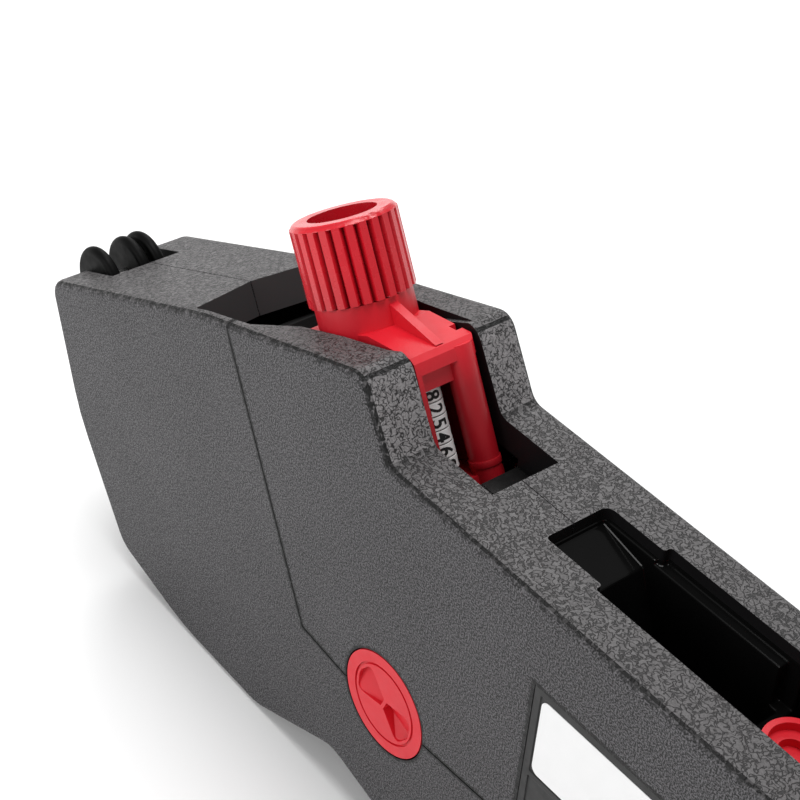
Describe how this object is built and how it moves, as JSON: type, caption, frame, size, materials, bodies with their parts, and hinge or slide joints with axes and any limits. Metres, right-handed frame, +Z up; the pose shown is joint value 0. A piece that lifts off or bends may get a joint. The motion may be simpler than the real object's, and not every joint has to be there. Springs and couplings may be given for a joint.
{
  "type": "price labeler",
  "caption": "Hand-held price labeler with a split grey housing, red fluted price-setting knob over number bands, squeeze trigger, side latches and applicator discs at its nose.",
  "frame": {"origin": "middle of the labeler's box on the surface that it stands on, with the print head turned up", "axes": "+X from the nose to the end of the grip, +Y to the labeler's left side, +Z up, away from the surface"},
  "size_m": [0.2484, 0.034, 0.1204],
  "materials": {
    "housing_plastic": "fine spark-eroded grain",
    "red_plastic": "satin moulded",
    "black_plastic": "glossy moulded",
    "dark_plastic": "satin moulded",
    "steel": "drawn and ground",
    "band_rubber": "matt, printed with digits",
    "ink_felt": "felt",
    "pale_plastic": "satin moulded",
    "disc_rubber": "satin"
  },
  "bodies": {
    "housing": {"main_housing_right": "housing_plastic", "main_housing_left": "housing_plastic", "well_liner": "black_plastic", "label_panel": "dark_plastic", "head_rail_right": "dark_plastic", "head_rail_left": "dark_plastic", "roll_spindle": "steel", "trigger_pin": "steel", "trigger_spring": "steel", "hinge_pin": "steel", "housing_screws": "steel"},
    "cover": {"front_cover_right": "housing_plastic", "front_cover_left": "housing_plastic", "platen": "dark_plastic", "label_guide": "dark_plastic", "peel_bar": "steel", "feed_shaft": "steel", "ink_pin": "steel", "cover_screws": "steel"},
    "print_head": {"head_frame": "red_plastic", "type_anvil": "dark_plastic", "idler_pin": "steel", "band_bar": "dark_plastic", "number_band_1": "band_rubber", "number_band_2": "band_rubber", "number_band_3": "band_rubber", "number_band_4": "band_rubber", "number_band_5": "band_rubber", "number_band_6": "band_rubber", "number_band_7": "band_rubber", "number_band_8": "band_rubber"},
    "selector": {"selector_sleeve": "dark_plastic"},
    "price_knob": {"knob": "red_plastic", "knob_shaft": "steel", "drive_wheel": "dark_plastic"},
    "trigger_body": {"trigger": "red_plastic", "link_pin": "steel"},
    "link": {"drive_link": "steel"},
    "latch_right": {"latch_knob_right": "red_plastic", "latch_cam_right": "steel"},
    "latch_left": {"latch_knob_left": "red_plastic", "latch_cam_left": "steel"},
    "applicator": {"applicator_shaft": "steel", "applicator_disc_1": "disc_rubber", "applicator_disc_2": "disc_rubber", "applicator_disc_3": "disc_rubber"},
    "feeder": {"feed_wheel": "pale_plastic"},
    "ink_swing_arm": {"ink_arm": "dark_plastic", "ink_axle": "steel"},
    "inker": {"ink_roller": "ink_felt"},
    "roll_carrier": {"roll_hub": "dark_plastic"}
  },
  "joints": [
    {"name": "cover_hinge", "type": "hinge", "parent": "housing", "child": "cover", "pos_m": [0.07555, 0, 0.0399], "axis": [0, -1, 0], "range_deg": [0, 60]},
    {"name": "trigger_squeeze", "type": "hinge", "parent": "housing", "child": "trigger_body", "pos_m": [0.07755, 0.0008, 0.0804], "axis": [0, 1, 0], "range_deg": [0, 24], "stiffness_Nm_per_rad": 0.6, "springref_deg": -14.32, "deforming": ["trigger_spring"]},
    {"name": "head_slide", "type": "slide", "parent": "housing", "child": "print_head", "axis": [-0.8771, 0, -0.4802], "range_m": [0, 0.014]},
    {"name": "link_swing", "type": "hinge", "parent": "trigger_body", "child": "link", "pos_m": [0.08316, 0.012, 0.05399], "axis": [0, -1, 0], "range_deg": [0, 30]},
    {"name": "selector_slide", "type": "slide", "parent": "print_head", "child": "selector", "axis": [-0.4802, 0, 0.8771], "range_m": [0, 0.0182]},
    {"name": "knob_spin", "type": "hinge", "parent": "selector", "child": "price_knob", "pos_m": [-0.03546, 0.0008, 0.09745], "axis": [-0.4802, 0, 0.8771], "continuous": true},
    {"name": "latch_right_turn", "type": "hinge", "parent": "housing", "child": "latch_right", "pos_m": [-0.00235, -0.013, 0.0367], "axis": [0, 1, 0], "range_deg": [0, 90]},
    {"name": "latch_left_turn", "type": "hinge", "parent": "housing", "child": "latch_left", "pos_m": [-0.00235, 0.013, 0.0367], "axis": [0, 1, 0], "range_deg": [0, 90]},
    {"name": "applicator_spin", "type": "hinge", "parent": "cover", "child": "applicator", "pos_m": [-0.11575, 0, 0.0614], "axis": [0, 1, 0], "continuous": true},
    {"name": "feed_spin", "type": "hinge", "parent": "cover", "child": "feeder", "pos_m": [-0.07246, 0, 0.0454], "axis": [0, 1, 0], "continuous": true},
    {"name": "ink_swing", "type": "hinge", "parent": "cover", "child": "ink_swing_arm", "pos_m": [-0.03973, 0.0008, 0.05008], "axis": [0, -1, 0], "range_deg": [0, 90]},
    {"name": "ink_spin", "type": "hinge", "parent": "ink_swing_arm", "child": "inker", "pos_m": [-0.04786, 0.0008, 0.06022], "axis": [0, 1, 0], "continuous": true},
    {"name": "roll_spin", "type": "hinge", "parent": "housing", "child": "roll_carrier", "pos_m": [0.02555, 0, 0.0419], "axis": [0, 1, 0], "continuous": true}
  ],
  "couplings": [
    {"joint": "head_slide", "follows": "trigger_squeeze", "m_per_rad": 0.033423},
    {"joint": "link_swing", "follows": "trigger_squeeze", "ratio": 1.181},
    {"joint": "ink_swing", "follows": "trigger_squeeze", "ratio": 3.75}
  ]
}
